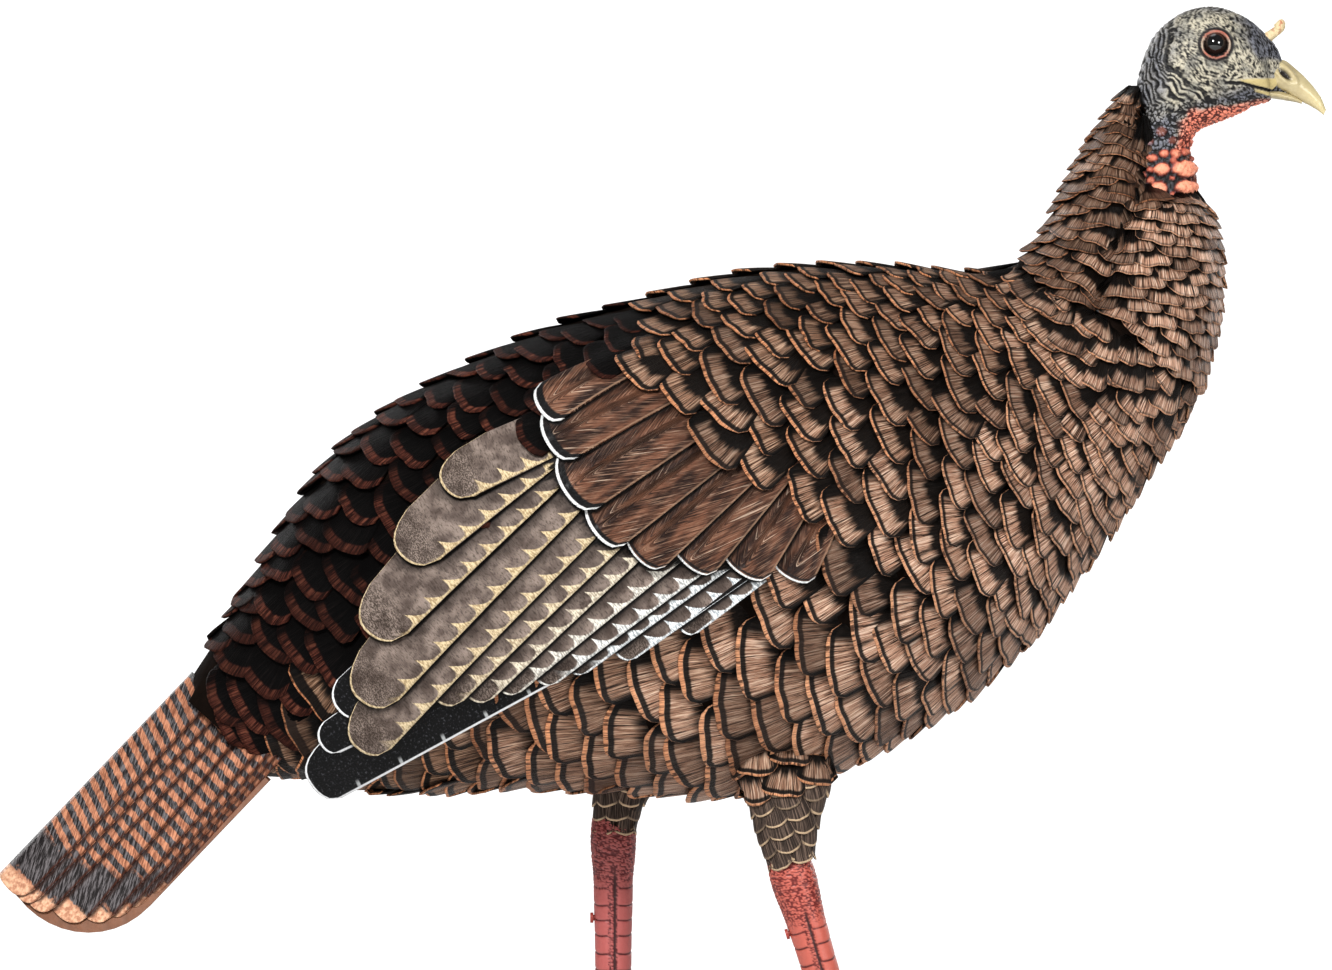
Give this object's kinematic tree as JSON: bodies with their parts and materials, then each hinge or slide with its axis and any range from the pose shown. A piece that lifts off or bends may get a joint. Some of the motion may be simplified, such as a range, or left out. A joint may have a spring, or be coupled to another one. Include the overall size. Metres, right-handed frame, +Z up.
{
  "type": "turkey decoy",
  "caption": "Life-size standing hen turkey decoy with a twist-lock swivelling head, plug-in tail, wing panels, and legs with sliding ground stakes.",
  "frame": {"origin": "centre of the bounding box at the level of the soles", "axes": "+X the way the bird faces, +Y its left side, +Z up"},
  "size_m": [0.6611, 0.2182, 0.547],
  "materials": {
    "moulded_plumage": "matte",
    "wing_plumage": "matte",
    "tail_plumage": "matte",
    "thigh_plumage": "matte",
    "head_skin": "satin",
    "bill_horn": "satin",
    "eye": "gloss",
    "snood_skin": "satin",
    "leg_skin": "satin",
    "dark_fitting": "satin",
    "rubber_ring": "matte",
    "ballast_iron": "matte",
    "aluminium_tube": "satin",
    "steel": "satin"
  },
  "bodies": {
    "body": {"body_shell": "moulded_plumage", "breast_ballast": "ballast_iron", "left_wing": "wing_plumage", "right_wing": "wing_plumage", "wing_rivets": "dark_fitting", "tail_fan": "tail_plumage", "tail_socket": "dark_fitting", "tail_screw": "steel", "neck_collar": "dark_fitting", "left_leg_socket": "dark_fitting", "right_leg_socket": "dark_fitting", "left_leg_tube": "aluminium_tube", "right_leg_tube": "aluminium_tube", "left_thigh": "thigh_plumage", "right_thigh": "thigh_plumage", "left_shank": "leg_skin", "right_shank": "leg_skin", "left_foot": "leg_skin", "right_foot": "leg_skin", "left_stake_bush": "dark_fitting", "right_stake_bush": "dark_fitting"},
    "head": {"neck_shell": "moulded_plumage", "head_shell": "head_skin", "upper_bill": "bill_horn", "lower_bill": "bill_horn", "left_eye": "eye", "right_eye": "eye", "snood": "snood_skin", "neck_spigot": "dark_fitting", "neck_o_ring": "rubber_ring"},
    "left_stake": {"left_stake": "steel", "left_stake_stud": "steel"},
    "right_stake": {"right_stake": "steel", "right_stake_stud": "steel"}
  },
  "joints": [
    {"name": "head_turn", "type": "hinge", "parent": "body", "child": "head", "pos_m": [0.223, 0, 0.3885], "axis": [0.577, 0, 0.8167], "range_deg": [-45, 45]},
    {"name": "left_stake_slide", "type": "slide", "parent": "body", "child": "left_stake", "axis": [0, 0, -1], "range_m": [0, 0.075]},
    {"name": "right_stake_slide", "type": "slide", "parent": "body", "child": "right_stake", "axis": [0.284, 0, -0.9588], "range_m": [0, 0.075]}
  ]
}
